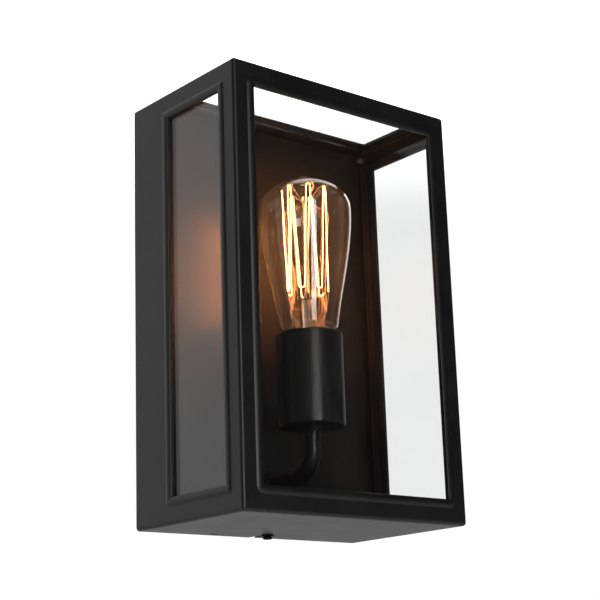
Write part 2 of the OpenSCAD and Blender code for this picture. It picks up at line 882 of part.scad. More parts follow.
module lamp_leads() {
    color("#b87333") at_lamp() for (i = [0, filament_loops - 4]) wire(strut(i, 28, 0.4), 0.4);
}

module lamp_supports() {
    color("#9a9a9a") at_lamp() {
        for (i = [1 : filament_loops - 1]) if (i != filament_loops - 4)
            wire(strut(i, 33, wire_r), wire_r);
        for (i = [0 : filament_loops - 1]) let (end = hook(i, true), u = end / norm([end.x, end.y]))
            wire(curve([2.9 * u.x, 2.9 * u.y, hook_high - 7.5], [7 * u.x, 7 * u.y, hook_high - 8],
                       [end.x * 0.8, end.y * 0.8, hook_high + 4], end + [0, 0, 0.8], 8), wire_r);
    }
}

// One wire that zigzags between the lower and the upper hooks.
module lamp_filament() {
    color("#ffd27a") at_lamp() wire(
        [for (i = [0 : filament_loops - 1], high = [false, true]) hook(i, high)], 0.3);
}

wall_gasket();
wall_plate();
plate_tabs();
back_pan();
pan_screws();
pan_nuts();
clinch_nut();
cable_grommet();
terminal_block();
terminal_screws();
earth_stud();
earth_nut();
earth_wire();
live_lead();
neutral_lead();
arm_tube();
arm_collar();
arm_nut();
cup_collar();
lampholder_cup();
cup_nut();
holder_bracket();
holder_body();
threaded_shell();
contact_tongue();
front_frame();
left_frame();
right_frame();
top_frame();
bottom_tray();
front_glass();
left_glass();
right_glass();
top_glass();
front_seal();
left_seal();
right_seal();
top_seal();
left_retainer();
right_retainer();
retainer_studs();
retainer_nuts();
thumb_washer();
thumb_screw();
lamp_contact();
lamp_insulator();
lamp_cap();
lamp_envelope();
lamp_stem();
lamp_leads();
lamp_supports();
lamp_filament();
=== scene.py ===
import math

import bmesh
import bpy
from mathutils import Matrix, Vector


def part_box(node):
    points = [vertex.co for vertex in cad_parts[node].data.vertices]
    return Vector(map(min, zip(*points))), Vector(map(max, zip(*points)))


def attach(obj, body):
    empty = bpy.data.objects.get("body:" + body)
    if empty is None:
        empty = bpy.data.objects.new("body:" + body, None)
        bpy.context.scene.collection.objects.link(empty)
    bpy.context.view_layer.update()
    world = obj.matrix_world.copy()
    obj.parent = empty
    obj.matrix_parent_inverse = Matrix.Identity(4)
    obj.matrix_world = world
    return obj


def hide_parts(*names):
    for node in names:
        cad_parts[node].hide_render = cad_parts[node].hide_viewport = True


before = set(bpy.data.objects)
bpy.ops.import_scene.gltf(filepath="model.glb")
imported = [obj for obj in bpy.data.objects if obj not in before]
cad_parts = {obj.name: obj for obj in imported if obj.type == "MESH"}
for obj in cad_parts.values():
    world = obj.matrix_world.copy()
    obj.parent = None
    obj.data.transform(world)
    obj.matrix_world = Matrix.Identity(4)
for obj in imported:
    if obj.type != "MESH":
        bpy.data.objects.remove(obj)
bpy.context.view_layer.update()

MM = 0.001
SHEET = 1.2 * MM
SHARP_ANGLE = math.radians(35)


# ------------------------------------------------------------------ camera

def build_camera():
    """Below and to the left of the lantern, looking up, turned a little about its own axis."""
    data = bpy.data.cameras.new("camera")
    data.lens, data.sensor_width = 91.4, 36.0
    obj = bpy.data.objects.new("camera", data)
    eye = Vector((-0.6634, -0.8560, -0.2673))
    forward = Vector((0.6196, 0.7411, 0.2587)).normalized()
    roll = math.radians(-1.94)
    turn = forward.to_track_quat("-Z", "Y").to_matrix().to_4x4() @ Matrix.Rotation(roll, 4, "Z")
    obj.matrix_world = Matrix.Translation(eye) @ turn
    bpy.context.scene.collection.objects.link(obj)
    bpy.context.scene.camera = obj


build_camera()


# ------------------------------------------------------------------ materials

def new_material(name):
    """A node material with its tree and its Principled shader."""
    mat = bpy.data.materials.new(name)
    mat.use_nodes = True
    tree = mat.node_tree
    return mat, tree, tree.nodes["Principled BSDF"]


def add(tree, kind, **values):
    """A node of this kind; each value goes to the input or the setting of that name."""
    node = tree.nodes.new(kind)
    for key, value in values.items():
        if key in node.inputs:
            node.inputs[key].default_value = value
        else:
            setattr(node, key, value)
    return node


def noise(tree, scale, detail=3.0, rough=0.5):
    """Noise fixed to the object, with the scale in waves per metre."""
    coords = add(tree, "ShaderNodeTexCoord")
    node = add(tree, "ShaderNodeTexNoise", Scale=scale, Detail=detail, Roughness=rough)
    tree.links.new(coords.outputs["Object"], node.inputs["Vector"])
    return node.outputs["Fac"]


def map_range(tree, source, interval, values, kind="LINEAR"):
    """Carries a value from one interval to another."""
    node = add(tree, "ShaderNodeMapRange", interpolation_type=kind)
    for socket, value in zip(("From Min", "From Max", "To Min", "To Max"), interval + values):
        node.inputs[socket].default_value = value
    tree.links.new(source, node.inputs["Value"])
    return node.outputs["Result"]


def spread(tree, source, low, high):
    """Stretches the middle of a noise over two values."""
    return map_range(tree, source, (0.35, 0.65), (low, high))


def tinted(tree, source, dark, light):
    """Colour between two tints."""
    blend = add(tree, "ShaderNodeValToRGB")
    for element, position, tint in zip(blend.color_ramp.elements, (0.3, 0.7), (dark, light)):
        element.position = position
        element.color = (*tint, 1)
    tree.links.new(source, blend.inputs["Fac"])
    return blend.outputs["Color"]


def bumped(tree, shader, height, strength, distance):
    """Lets a height disturb the shader's normal."""
    node = add(tree, "ShaderNodeBump", Strength=strength, Distance=distance)
    tree.links.new(height, node.inputs["Height"])
    tree.links.new(node.outputs["Normal"], shader.inputs["Normal"])


def surface(name, dark, light, rough, metallic=0.0, grain=900.0, bump=0.1, depth=0.05 * MM,
            blotch=25.0, gloss=0.5):
    """A solid surface: cloudy colour, roughness that drifts, and a fine grain in its bump."""
    mat, tree, shader = new_material(name)
    shader.inputs["Metallic"].default_value = metallic
    shader.inputs["Specular IOR Level"].default_value = gloss
    cloud = noise(tree, blotch, 4.0, 0.6)
    tree.links.new(tinted(tree, cloud, dark, light), shader.inputs["Base Color"])
    tree.links.new(spread(tree, cloud, *rough), shader.inputs["Roughness"])
    bumped(tree, shader, noise(tree, grain, 2.0), bump, depth)
    return mat


def clear(name, tint, ior, smudge):
    """Clear glass with faint smears in its roughness and a barely uneven surface."""
    mat, tree, shader = new_material(name)
    shader.inputs["Base Color"].default_value = (*tint, 1)
    shader.inputs["Transmission Weight"].default_value = 1.0
    shader.inputs["IOR"].default_value = ior
    tree.links.new(spread(tree, noise(tree, 9.0, 5.0, 0.7), 0.0, smudge), shader.inputs["Roughness"])
    bumped(tree, shader, noise(tree, 14.0, 1.0), 0.02, 0.2 * MM)
    return mat


def filmed(name, tint, ior, smudge, film, amount):
    """Clear glass that carries a faint film, thicker in some places."""
    mat = clear(name, tint, ior, smudge)
    tree = mat.node_tree
    haze = add(tree, "ShaderNodeBsdfTranslucent")
    haze.inputs["Color"].default_value = (*film, 1)
    mix = add(tree, "ShaderNodeMixShader")
    tree.links.new(spread(tree, noise(tree, 30.0, 4.0, 0.6), *amount), mix.inputs["Fac"])
    tree.links.new(tree.nodes["Principled BSDF"].outputs["BSDF"], mix.inputs[1])
    tree.links.new(haze.outputs["BSDF"], mix.inputs[2])
    tree.links.new(mix.outputs["Shader"], tree.nodes["Material Output"].inputs["Surface"])
    return mat


def glowing(name, colour, strength):
    """A hot filament: emission that wavers a little along its length."""
    mat, tree, shader = new_material(name)
    shader.inputs["Base Color"].default_value = (0.1, 0.05, 0.02, 1)
    shader.inputs["Roughness"].default_value = 0.6
    shader.inputs["Emission Color"].default_value = (*colour, 1)
    wave = spread(tree, noise(tree, 220.0, 2.0), 0.75 * strength, 1.25 * strength)
    tree.links.new(wave, shader.inputs["Emission Strength"])
    return mat


COAT = surface("black_powder_coat", (0.0055, 0.0055, 0.0053), (0.009, 0.009, 0.0087), (0.4, 0.46),
               grain=2600.0, bump=0.22, depth=0.04 * MM, blotch=40.0, gloss=0.46)
# Painted light: the same black powder coat, made lighter and glossier on the tray so the bottom face reads
# brighter, as if lit from below.
TRAY_COAT_PAINTED_BRIGHT = surface("black_coat_painted_bright_tray", (0.008, 0.008, 0.0078), (0.012, 0.012, 0.0117), (0.4, 0.46),
                    grain=2600.0, bump=0.22, depth=0.04 * MM, blotch=40.0, gloss=0.68)
# Painted light: the same black powder coat, made lighter and glossier on the back pan to stand in for the
# light that reaches it through the windows.
PAN_COAT_PAINTED_LIGHT = surface("black_coat_painted_lit_pan", (0.013, 0.0135, 0.012), (0.019, 0.0195, 0.017), (0.3, 0.36),
                   grain=2200.0, bump=0.2, depth=0.04 * MM, blotch=30.0, gloss=0.6)
BLACK_ZINC = surface("black_zinc_plating", (0.003, 0.003, 0.003), (0.007, 0.007, 0.007), (0.4, 0.55),
                     grain=1600.0, bump=0.15, gloss=0.1)
ZINC = surface("zinc_plated_steel", (0.42, 0.43, 0.45), (0.6, 0.6, 0.6), (0.28, 0.42), metallic=1.0,
               grain=1400.0, bump=0.12)
BRASS = surface("brass", (0.55, 0.36, 0.13), (0.72, 0.5, 0.2), (0.22, 0.38), metallic=1.0,
                grain=1200.0, bump=0.1)
RUBBER = surface("black_rubber", (0.012, 0.012, 0.012), (0.022, 0.022, 0.022), (0.6, 0.75),
                 grain=1800.0, bump=0.25, depth=0.06 * MM)
FOAM = surface("foam_gasket", (0.02, 0.02, 0.021), (0.04, 0.04, 0.042), (0.85, 0.95),
               grain=1100.0, bump=0.7, depth=0.3 * MM)
NYLON = surface("natural_nylon", (0.7, 0.67, 0.58), (0.8, 0.77, 0.69), (0.4, 0.5), grain=700.0)
PORCELAIN = surface("glazed_porcelain", (0.72, 0.69, 0.6), (0.82, 0.79, 0.72), (0.1, 0.2),
                    grain=300.0, bump=0.05)
VITRITE = surface("black_vitrite", (0.008, 0.008, 0.01), (0.02, 0.02, 0.022), (0.08, 0.2),
                  grain=400.0, bump=0.05)
SOLDER = surface("dull_solder", (0.4, 0.4, 0.41), (0.55, 0.55, 0.55), (0.4, 0.6), metallic=1.0,
                 grain=900.0, bump=0.4, depth=0.1 * MM)
COPPER = surface("copper_wire", (0.55, 0.25, 0.12), (0.72, 0.36, 0.2), (0.25, 0.4), metallic=1.0)
MOLY = surface("molybdenum_wire", (0.35, 0.33, 0.3), (0.5, 0.46, 0.42), (0.3, 0.45), metallic=1.0)
BROWN = surface("brown_insulation", (0.1, 0.045, 0.02), (0.15, 0.07, 0.03), (0.4, 0.5))
BLUE = surface("blue_insulation", (0.02, 0.08, 0.3), (0.03, 0.12, 0.4), (0.4, 0.5))
GREEN = surface("green_yellow_insulation", (0.05, 0.3, 0.03), (0.6, 0.55, 0.03), (0.4, 0.5),
                blotch=180.0)
PANE = clear("float_glass", (0.985, 0.995, 0.99), 1.5, 0.012)
BLOWN = filmed("blown_glass", (1.0, 0.97, 0.93), 1.48, 0.01, (0.75, 0.85, 0.95), (0.003, 0.006))
HOT = glowing("hot_filament", (1.0, 0.34, 0.1), 84.0)


# ------------------------------------------------------------------ mesh helpers

def quarter(steps):
    """Angles from 0 to 90 degrees."""
    return [math.pi / 2 * i / steps for i in range(steps + 1)]


def circle(radius, steps, x=0.0, y=0.0):
    """(x, y) points round a circle."""
    return [(x + radius * math.cos(a), y + radius * math.sin(a))
            for a in (2 * math.pi * k / steps for k in range(steps))]


def arc(x, z, r, start, end, steps=8):
    """(radius, height) points along an arc, with its angles in degrees."""
    angles = (math.radians(start + (end - start) * i / steps) for i in range(steps + 1))
    return [(x + r * math.cos(a), z + r * math.sin(a)) for a in angles]


def mark_sharp(mesh):
    """Smooth faces with sharp edges where the surface really turns."""
    bm = bmesh.new()
    bm.from_mesh(mesh)
    for face in bm.faces:
        face.smooth = True
    for edge in bm.edges:
        if len(edge.link_faces) == 2:
            edge.smooth = edge.calc_face_angle(math.pi) < SHARP_ANGLE
    bm.to_mesh(mesh)
    bm.free()


def bake(obj):
    """Applies an object's modifiers to its mesh."""
    view = bpy.context.evaluated_depsgraph_get()
    view.update()
    mesh = bpy.data.meshes.new_from_object(obj.evaluated_get(view))
    obj.modifiers.clear()
    obj.data = mesh
    mesh.name = obj.name


def piece(name, bm, mat, body, nodes, thick=0.0, bevel=0.0):
    """Finishes a mesh as a piece that rides on a body and stands for CAD nodes."""
    bmesh.ops.remove_doubles(bm, verts=bm.verts, dist=0.002 * MM)
    bmesh.ops.recalc_face_normals(bm, faces=bm.faces)
    mesh = bpy.data.meshes.new(name)
    bm.to_mesh(mesh)
    bm.free()
    obj = bpy.data.objects.new(name, mesh)
    bpy.context.scene.collection.objects.link(obj)
    if thick:
        shell = obj.modifiers.new("sheet", "SOLIDIFY")
        shell.thickness, shell.offset, shell.use_even_offset = thick, -1, True
    if bevel:
        edge = obj.modifiers.new("edges", "BEVEL")
        edge.width, edge.segments, edge.limit_method = bevel, 3, "ANGLE"
        edge.angle_limit = SHARP_ANGLE
    if thick or bevel:
        bake(obj)
    mark_sharp(obj.data)
    even = obj.modifiers.new("flat faces stay flat", "WEIGHTED_NORMAL")
    even.keep_sharp, even.weight = True, 100
    bake(obj)
    obj.data.materials.clear()
    obj.data.materials.append(mat)
    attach(obj, body)
    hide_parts(*nodes)
    return obj


def loft(bm, loops, closed=True):
    """Quads between successive loops of points."""
    rows = [[bm.verts.new(p) for p in loop] for loop in loops]
    count = len(rows[0])
    for a, b in zip(rows, rows[1:]):
        for i in range(count if closed else count - 1):
            j = (i + 1) % count
            bm.faces.new((a[i], a[j], b[j], b[i]))
    return rows


def revolve(bm, profile, centre, steps=96):
    """Turns (radius, height) points about a vertical axis through centre."""
    least = 0.001 * MM
    loft(bm, [[centre + Vector((x, y, z)) for x, y in circle(max(r, least), steps)]
              for r, z in profile])


def round_rect(half_u, half_v, radius, steps=6):
    """Corner points of a rectangle with round corners, counter-clockwise."""
    points = []
    for k, (su, sv) in enumerate(((1, 1), (-1, 1), (-1, -1), (1, -1))):
        for i in range(steps + 1):
            a = math.pi / 2 * (k + i / steps)
            points.append((su * (half_u - radius) + radius * math.cos(a),
                           sv * (half_v - radius) + radius * math.sin(a)))
    return points


def bezier(a, b, c, d, steps):
    """Points along a cubic curve."""
    a, b, c, d = (Vector(p) for p in (a, b, c, d))
    out = []
    for i in range(steps + 1):
        s = i / steps
        q = 1 - s
        out.append(a * q ** 3 + b * 3 * q * q * s + c * 3 * q * s * s + d * s ** 3)
    return out


def sweep(bm, path, radius, sides, cap=True):
    """A round wire or tube along a path, carried without twist."""
    path = [Vector(p) for p in path]
    last = len(path) - 1
    tangent = [(path[min(i + 1, last)] - path[max(i - 1, 0)]).normalized() for i in range(last + 1)]
    side = tangent[0].orthogonal().normalized()
    loops = []
    for i, point in enumerate(path):
        side = (side - tangent[i] * side.dot(tangent[i])).normalized()
        other = tangent[i].cross(side)
        loops.append([point + x * side + y * other for x, y in circle(radius, sides)])
    rows = loft(bm, loops)
    if cap:
        bm.faces.new(reversed(rows[0]))
        bm.faces.new(rows[-1])


def limits(node):
    """Lowest and highest corner of a CAD node."""
    low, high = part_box(node)
    return Vector(low), Vector(high)


def round_limits(node):
    """Lowest and highest corner of an upright round CAD node, and its radius."""
    low, high = limits(node)
    return low, high, (high.x - low.x) / 2


# ------------------------------------------------------------------ cage

EDGE_R = 2.5 * MM
EDGE_STEPS = 6
RIM_W = 6 * MM
RIM_RISE = 1 * MM
RIM_STEPS = 12
RIM_FADE = 0.5 * MM
LIP_ROLL = 0.9 * MM
LIP_DEPTH = 1.8 * MM
SEAL_W = 5 * MM
HALF_W = limits("right_frame")[1].x - RIM_RISE
FRONT_Y = limits("front_frame")[0].y + RIM_RISE
REAR_Y = limits("right_frame")[1].y
TOP_Z = limits("top_frame")[1].z - RIM_RISE
FLOOR_Z = limits("bottom_tray")[0].z
SIDES = (("left", -1), ("right", 1))


def front_place(u, v, n):
    """A point on the front face: u to the right, v up and n outward."""
    return Vector((u, FRONT_Y - n, v))


def top_place(u, v, n):
    """A point on the top face: u to the right, v to the wall and n outward."""
    return Vector((u, v, TOP_Z + n))


def side_place(sign):
    """The same for a side face: u to the wall, v up and n outward."""
    return lambda u, v, n: Vector((sign * (HALF_W + n), u, v))


# Axes of the face, its points, and how a window's corners grow: (radius at the opening, growth)
PRESSED = (0.5 * MM, 0.2)
WINDOWS = {
    "front": ((0, 2), front_place, (1.3 * MM, 0.62)),
    "left": ((1, 2), side_place(-1), PRESSED),
    "right": ((1, 2), side_place(1), PRESSED),
    "top": ((0, 1), top_place, PRESSED),
}


def round_window(side, profile):
    """Loops that carry a profile of (outset, height) points round a window's opening."""
    (u, v), place, (radius, growth) = WINDOWS[side]
    low, high = limits(side + "_seal")
    mid = (low + high) / 2
    half = (high - low) / 2 - Vector((SEAL_W, SEAL_W, SEAL_W))
    loops = []
    for outset, height in profile:
        outline = round_rect(half[u] + outset, half[v] + outset, radius + growth * outset)
        loops.append([place(mid[u] + x, mid[v] + y, height) for x, y in outline])
    return loops


def rim_profile():
    """(outset from the opening, height) from the sheet over the rim's crest and down its lip."""
    crest = RIM_W / 2
    r = (crest ** 2 + RIM_RISE ** 2) / (2 * RIM_RISE)

    def height(outset):
        return math.sqrt(r * r - (outset - crest) ** 2) - (r - RIM_RISE)

    points = [(RIM_W + RIM_FADE, 0), (RIM_W + 0.3 * RIM_FADE, 0.04 * RIM_FADE)]
    for i in range(RIM_STEPS + 1):
        outset = RIM_W - (RIM_W - LIP_ROLL) * i / RIM_STEPS
        points.append((outset, max(height(outset), 0.1 * RIM_FADE)))
    for a in quarter(5)[1:]:
        points.append((LIP_ROLL * (1 - math.sin(a)), height(LIP_ROLL) - LIP_ROLL * (1 - math.cos(a))))
    return points + [(0, -LIP_DEPTH)]


def flat_loop(u0, u1, v0, v1, place, depth=0.0, radius=0.0):
    """Outline of a flat face, with as many points as a window's loops."""
    mid_u, mid_v = (u0 + u1) / 2, (v0 + v1) / 2
    return [place(mid_u + u, mid_v + v, depth)
            for u, v in round_rect((u1 - u0) / 2, (v1 - v0) / 2, radius)]


def fold(bm, start, end, across, away):
    """Quarter-round edge strip: start and end lie on the flat, across points over the edge."""
    loops = []
    for a in quarter(EDGE_STEPS):
        shift = across * EDGE_R * math.sin(a) + away * EDGE_R * (1 - math.cos(a))
        loops.append([start + shift, end + shift])
    loft(bm, loops, closed=False)


def frame_piece(side, bm):
    return piece(side + "_frame_sheet", bm, COAT, "cage", [side + "_frame"], thick=SHEET)


def build_front_frame():
    """Front face with its four folded edges."""
    bm = bmesh.new()
    loops = []
    for a in quarter(EDGE_STEPS):
        inset = EDGE_R * (1 - math.cos(a))
        loops.append(flat_loop(-HALF_W + inset, HALF_W - inset, FLOOR_Z + inset, TOP_Z - inset,
                               front_place, -EDGE_R * (1 - math.sin(a)), EDGE_R - inset))
    loft(bm, loops + round_window("front", rim_profile()))
    frame_piece("front", bm)


def build_side_frame(side, sign):
    """Side face, folded over at its top and bottom."""
    bm = bmesh.new()
    place = side_place(sign)
    v0, v1 = FLOOR_Z + EDGE_R, TOP_Z - EDGE_R
    u0, u1 = FRONT_Y + EDGE_R, REAR_Y
    loft(bm, [flat_loop(u0, u1, v0, v1, place)] + round_window(side, rim_profile()))
    inward = Vector((-sign, 0, 0))
    fold(bm, place(u0, v1, 0), place(u1, v1, 0), Vector((0, 0, 1)), inward)
    fold(bm, place(u0, v0, 0), place(u1, v0, 0), Vector((0, 0, -1)), inward)
    frame_piece(side, bm)


def build_top_frame():
    """Flat top face between the folds of the others."""
    bm = bmesh.new()
    outer = flat_loop(-HALF_W + EDGE_R, HALF_W - EDGE_R, FRONT_Y + EDGE_R, REAR_Y, top_place)
    loft(bm, [outer] + round_window("top", rim_profile()))
    frame_piece("top", bm)


THUMB = (limits("thumb_screw")[0] + limits("thumb_screw")[1]) / 2
DRAIN = Vector((-39, -8.5)) * MM
DRAIN_R = 2.75 * MM
SLOT_HALF = 2.7 * MM
TRAY_EASE = 0.15 * MM


def build_tray():
    """Flat bottom with a drain hole and a slot that is open to the rear."""
    curve = bpy.data.curves.new("tray_outline", "CURVE")
    curve.dimensions, curve.fill_mode = "2D", "BOTH"
    curve.extrude = SHEET / 2 - TRAY_EASE
    curve.bevel_depth, curve.bevel_resolution, curve.offset = TRAY_EASE, 2, -TRAY_EASE
    x1, y0, y1 = HALF_W - EDGE_R, FRONT_Y + EDGE_R, REAR_Y
    turn = [(SLOT_HALF * math.cos(a), THUMB.y - SLOT_HALF * math.sin(a))
            for a in (math.pi * k / 16 for k in range(17))]
    outline = [(-x1, y0), (x1, y0), (x1, y1), (SLOT_HALF, y1)] + turn + [(-SLOT_HALF, y1), (-x1, y1)]
    for points in (outline, circle(DRAIN_R, 32, DRAIN.x, DRAIN.y)):
        spline = curve.splines.new("POLY")
        spline.points.add(len(points) - 1)
        for corner, (x, y) in zip(spline.points, points):
            corner.co = (x, y, 0, 1)
        spline.use_cyclic_u = True
    temp = bpy.data.objects.new("tray_outline", curve)
    bpy.context.scene.collection.objects.link(temp)
    view = bpy.context.evaluated_depsgraph_get()
    bm = bmesh.new()
    bm.from_mesh(bpy.data.meshes.new_from_object(temp.evaluated_get(view)))
    bpy.data.objects.remove(temp)
    bmesh.ops.translate(bm, verts=bm.verts, vec=(0, 0, FLOOR_Z + SHEET / 2))
    # The tray takes the copy of the coat with painted light.
    piece("bottom_tray_sheet", bm, TRAY_COAT_PAINTED_BRIGHT, "cage", ["bottom_tray"])


build_front_frame()
for side_name, side_sign in SIDES:
    build_side_frame(side_name, side_sign)
build_top_frame()
build_tray()


# ------------------------------------------------------------------ glazing

PANE_BEVEL = 0.4 * MM
PANE_DEPTH = limits("front_glass")[0].y - FRONT_Y
SEAL_EASE = 0.2 * MM
RETAINER_FOOT = 6 * MM
RETAINER_BEND = 1.6 * MM
RETAINER_GAPS = (0.2 * MM, 8.5 * MM)


def build_pane(side):
    """The CAD pane with eased edges."""
    low, high = limits(side + "_glass")
    size, mid = high - low, (high + low) / 2
    bm = bmesh.new()
    bmesh.ops.create_cube(bm, size=1)
    for vert in bm.verts:
        vert.co = Vector(vert.co[i] * size[i] + mid[i] for i in range(3))
    piece(side + "_pane", bm, PANE, "cage", [side + "_glass"], bevel=PANE_BEVEL)


def build_seal(side):
    """A soft ring: its free inner edge bulges, and behind the lip it fills up to the sheet."""
    low, soft = -PANE_DEPTH, (PANE_DEPTH - LIP_DEPTH) / 2
    bulge = [(soft - soft * math.cos(a), low + soft + soft * math.sin(a))
             for a in (math.pi * (k / 8 - 0.5) for k in range(9))]
    behind_lip = SHEET + SEAL_EASE / 2
    outer = SEAL_W - SEAL_EASE
    profile = bulge + [(behind_lip, -LIP_DEPTH), (behind_lip, -SHEET), (outer, -SHEET),
                       (SEAL_W, -SHEET - SEAL_EASE), (SEAL_W, low + SEAL_EASE), (outer, low)]
    bm = bmesh.new()
    loft(bm, round_window(side, profile + profile[:1]))
    piece(side + "_seal_ring", bm, RUBBER, "cage", [side + "_seal"])


def build_retainer(side, sign):
    """Folded strip with round bends: foot on the wall, step, flange on the pane."""
    low, high = limits(side + "_retainer")
    r, step_y = RETAINER_BEND, high.y - RETAINER_FOOT
    x_foot = max(abs(low.x), abs(high.x))
    x_flange = min(abs(low.x), abs(high.x)) + SHEET
    path = [(x_foot, high.y)]
    for a in quarter(6):
        path.append((x_foot - r * (1 - math.cos(a)), step_y + r - r * math.sin(a)))
    for a in quarter(6):
        path.append((x_flange + r * (1 - math.sin(a)), step_y - r + r * math.cos(a)))
    path.append((x_flange, low.y))
    ends = (low.z + RETAINER_GAPS[0], high.z - RETAINER_GAPS[1])
    bm = bmesh.new()
    loft(bm, [[Vector((sign * x, y, z)) for z in ends] for x, y in path], closed=False)
    piece(side + "_retainer_strip", bm, COAT, "cage", [side + "_retainer"], thick=SHEET)


for side_name in WINDOWS:
    build_pane(side_name)
for side_name in WINDOWS:
    build_seal(side_name)
for side_name, side_sign in SIDES:
    build_retainer(side_name, side_sign)


# ------------------------------------------------------------------ arm and lampholder

CUP_LOW, CUP_HIGH, CUP_R = round_limits("lampholder_cup")
AXIS = (CUP_LOW + CUP_HIGH) / 2
ARM_LOW, ARM_HIGH, ARM_R = round_limits("arm_tube")
ARM_Z = ARM_LOW.z + ARM_R
ARM_BEND = 20 * MM
ARM_WALL = 1.25 * MM
ARM_BORE = ARM_R + 0.1 * MM
PAN_FRONT = limits("back_pan")[0].y
THREAD_PITCH = 3.629 * MM
THREAD_ROWS = 16


def on_axis(height):
    """A point on the lamp's axis."""
    return Vector((AXIS.x, AXIS.y, height))


def build_arm():
    """Bent tube: straight out of the pan, then up into the cup."""
    x, y = AXIS.x, AXIS.y
    path = [(x, ARM_HIGH.y, ARM_Z), (x, PAN_FRONT - 2 * MM, ARM_Z), (x, y + ARM_BEND + 2 * MM, ARM_Z)]
    for a in quarter(24):
        path.append((x, y + ARM_BEND - ARM_BEND * math.sin(a), ARM_Z + ARM_BEND * (1 - math.cos(a))))
    path += [(x, y, CUP_LOW.z - 6 * MM), (x, y, ARM_HIGH.z)]
    bm = bmesh.new()
    sweep(bm, path, ARM_R, sides=40, cap=False)
    piece("arm", bm, COAT, "base", ["arm_tube"], thick=ARM_WALL)


def build_arm_collar():
    """Stepped ring against the pan, its axis along Y."""
    low, high, r = round_limits("arm_collar")
    h, flange, edge = high.y - low.y, 1.6 * MM, 0.7 * MM
    profile = ([(ARM_BORE, 0), (r, 0)] + arc(r - edge, flange - edge, edge, 0, 90)
               + [(r - 2 * edge, flange + 0.1 * MM)] + arc(ARM_R + 1.2 * MM, h - edge, edge, 0, 90)
               + [(ARM_BORE, h), (ARM_BORE, 0)])
    bm = bmesh.new()
    revolve(bm, profile, Vector((0, 0, 0)), 64)
    turn = Matrix.Translation((AXIS.x, high.y, ARM_Z)) @ Matrix.Rotation(math.radians(90), 4, "X")
    bmesh.ops.transform(bm, matrix=turn, verts=bm.verts)
    piece("arm_collar_ring", bm, COAT, "base", ["arm_collar"])


def build_cup_collar():
    """Round-edged ring under the cup."""
    low, high, r = round_limits("cup_collar")
    h, edge = high.z - low.z, 0.6 * MM
    profile = ([(ARM_BORE, 0)] + arc(r - edge, edge, edge, -90, 0) + arc(r - edge, h - edge, edge, 0, 90)
               + [(ARM_BORE, h), (ARM_BORE, 0)])
    bm = bmesh.new()
    revolve(bm, profile, on_axis(low.z), 64)
    piece("cup_collar_ring", bm, COAT, "base", ["cup_collar"])


def build_cup():
    """Drawn cup with a round foot and a rolled rim."""
    h, edge, lip = CUP_HIGH.z - CUP_LOW.z, 1.4 * MM, SHEET / 2
    profile = ([(ARM_BORE, 0)] + arc(CUP_R - edge, edge, edge, -90, 0)
               + arc(CUP_R - lip, h - lip, lip, 0, 180)
               + arc(CUP_R - SHEET - edge, SHEET + edge, edge, 0, -90)
               + [(ARM_BORE, SHEET), (ARM_BORE, 0)])
    bm = bmesh.new()
    revolve(bm, profile, on_axis(CUP_LOW.z), 128)
    piece("cup_shell", bm, COAT, "base", ["lampholder_cup"])


def build_holder():
    """Porcelain body with round shoulders and a bore for the threaded shell."""
    low, high, r = round_limits("holder_body")
    shell_low, _, shell_r = round_limits("threaded_shell")
    bore, foot, edge = shell_r + 0.05 * MM, 2 * MM, 1.2 * MM
    profile = ([(0, low.z)] + arc(r - foot, low.z + foot, foot, -90, 0)
               + arc(r - edge, high.z - edge, edge, 0, 90)
               + arc(bore + edge, high.z - edge, edge, 90, 180)
               + [(bore, shell_low.z), (0, shell_low.z)])
    bm = bmesh.new()
    revolve(bm, profile, on_axis(0))
    piece("holder_porcelain", bm, PORCELAIN, "base", ["holder_body"])


def rolled_thread(bm, radius, depth, low, high, inner=False):
    """A round thread as one helical sheet between two heights, faded out at both ends."""
    rows = int((high - low) / THREAD_PITCH * THREAD_ROWS)
    steps = 96
    loops = []
    for j in range(rows + 1):
        z = low + (high - low) * j / rows
        fade = min(1, 4 * min(z - low, high - z) / THREAD_PITCH)
        ring = []
        for k in range(steps):
            a = 2 * math.pi * k / steps
            wave = 0.5 - 0.5 * math.cos(2 * math.pi * (z - low) / THREAD_PITCH - a)
            r = radius - depth * fade * (1 - wave if inner else wave)
            ring.append(lamp_point(r, a, z))
        loops.append(ring)
    loft(bm, loops)


def build_threaded_shell():
    """The holder's threaded sleeve with its floor."""
    low, high, r = round_limits("threaded_shell")
    wall = 0.25 * MM
    middle, floor = r - 0.3 * MM, low.z + wall
    bm = bmesh.new()
    rolled_thread(bm, middle, wall, low.z + 2 * wall, high.z - 0.6 * MM, inner=True)
    revolve(bm, [(7 * MM, floor), (middle, floor), (middle, low.z + 2 * wall)], on_axis(0))
    piece("threaded_sleeve", bm, BRASS, "base", ["threaded_shell"], thick=wall)


def lamp_point(r, a, z):
    """A point at a radius, angle and height about the lamp's axis."""
    return on_axis(z) + Vector((r * math.cos(a), r * math.sin(a), 0))


build_arm()
build_arm_collar()
build_cup_collar()
build_cup()
build_holder()
build_threaded_shell()


# ------------------------------------------------------------------ lamp

CONTACT_Z = limits("lamp_contact")[0].z
_, ENV_HIGH, BULB_R = round_limits("lamp_envelope")
LAMP_LEN = ENV_HIGH.z - CONTACT_Z
PIP_H = 4.7 * MM
PIP_R = 4.6 * MM
NECK_R = 12.4 * MM
GLASS_T = 0.9 * MM
STEM_R = 4.5 * MM
BUTTON_R = 2.8 * MM
BUTTON_DROP = 3.6 * MM
FILAMENT_LOW, FILAMENT_HIGH = limits("lamp_filament")
LOW_Z, HIGH_Z = FILAMENT_LOW.z + 0.4 * MM, FILAMENT_HIGH.z - 0.4 * MM
LOW_R, HIGH_R = 14.5 * MM, 16 * MM
LOOPS = 7
FILAMENT_TURN = math.radians(8)
LEAD_HOOKS = (0, LOOPS - 4)


